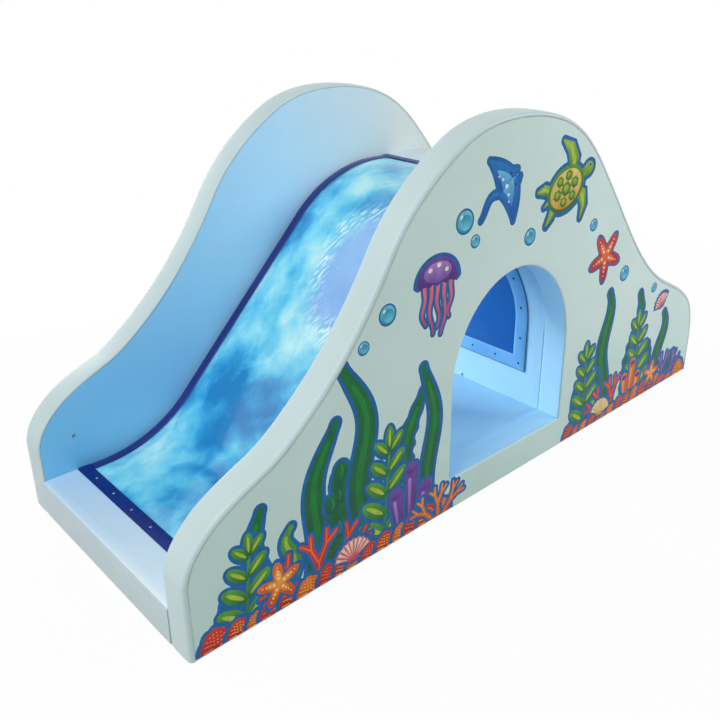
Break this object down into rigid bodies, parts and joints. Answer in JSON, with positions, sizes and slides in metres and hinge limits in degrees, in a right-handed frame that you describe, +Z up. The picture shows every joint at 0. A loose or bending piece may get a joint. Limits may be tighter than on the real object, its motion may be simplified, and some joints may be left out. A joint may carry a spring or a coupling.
{
  "type": "playground slide",
  "caption": "Padded indoor wave slide with a water-mat bed between two S-shaped foam walls, a crawl tunnel through both walls and steps at the back.",
  "frame": {"origin": "on the floor, at the centre of the slide's footprint", "axes": "+X along the slide from the landing end to the step end, +Y from the near wall to the far wall, +Z up"},
  "size_m": [2.6, 1, 1.293],
  "materials": {
    "white_vinyl": "white coated-fabric vinyl over foam, satin",
    "pale_blue_vinyl": "pale blue coated-fabric vinyl over foam, satin",
    "light_blue_vinyl": "light blue coated-fabric vinyl over foam, satin",
    "water_print_vinyl": "glossy clear film over a mottled water-blue sheet",
    "navy_strip": "navy flexible strip, semi-gloss",
    "window_strip": "light blue flexible strip, satin",
    "blue_pane": "deep blue tinted sheet, glossy",
    "foam": "upholstery foam",
    "plywood": "birch plywood, sanded",
    "timber": "planed softwood",
    "zinc_steel": "zinc-plated steel"
  },
  "bodies": {
    "root": {"near_wall_core": "plywood", "near_wall_outer_pad": "white_vinyl", "near_wall_inner_pad": "light_blue_vinyl", "near_wall_edge_pad": "white_vinyl", "near_arch_lining": "light_blue_vinyl", "near_wall_eyelet": "zinc_steel", "far_wall_core": "plywood", "far_wall_outer_pad": "white_vinyl", "far_wall_inner_pad": "light_blue_vinyl", "far_wall_edge_pad": "white_vinyl", "far_arch_lining": "light_blue_vinyl", "far_wall_eyelet": "zinc_steel", "base_board": "plywood", "front_rail": "timber", "landing_pad": "pale_blue_vinyl", "near_rib": "plywood", "centre_rib": "plywood", "far_rib": "plywood", "slide_deck_board": "plywood", "slide_deck_foam": "foam", "water_mattress": "water_print_vinyl", "near_border_strip": "navy_strip", "far_border_strip": "navy_strip", "front_border_strip": "navy_strip", "crest_border_strip": "navy_strip", "tunnel_floor_pad": "light_blue_vinyl", "tunnel_ceiling_panel": "light_blue_vinyl", "tunnel_front_board": "plywood", "tunnel_front_pad": "light_blue_vinyl", "tunnel_front_eyelet": "zinc_steel", "tunnel_rear_board": "plywood", "tunnel_rear_pad": "light_blue_vinyl", "tunnel_rear_eyelet": "zinc_steel", "window_pane": "blue_pane", "window_ring": "window_strip", "platform_board": "plywood", "platform_pad": "pale_blue_vinyl", "step_1_pad": "white_vinyl", "step_2_pad": "white_vinyl", "step_3_pad": "white_vinyl", "step_4_pad": "white_vinyl", "tread_1_board": "plywood", "tread_2_board": "plywood", "tread_3_board": "plywood", "tread_4_board": "plywood", "riser_1_board": "plywood", "riser_2_board": "plywood", "riser_3_board": "plywood", "riser_4_board": "plywood", "riser_5_board": "plywood", "tie_rod_front": "zinc_steel", "tie_rod_crest": "zinc_steel", "tie_rod_upper_step": "zinc_steel", "tie_rod_lower_step": "zinc_steel"}
  },
  "joints": []
}
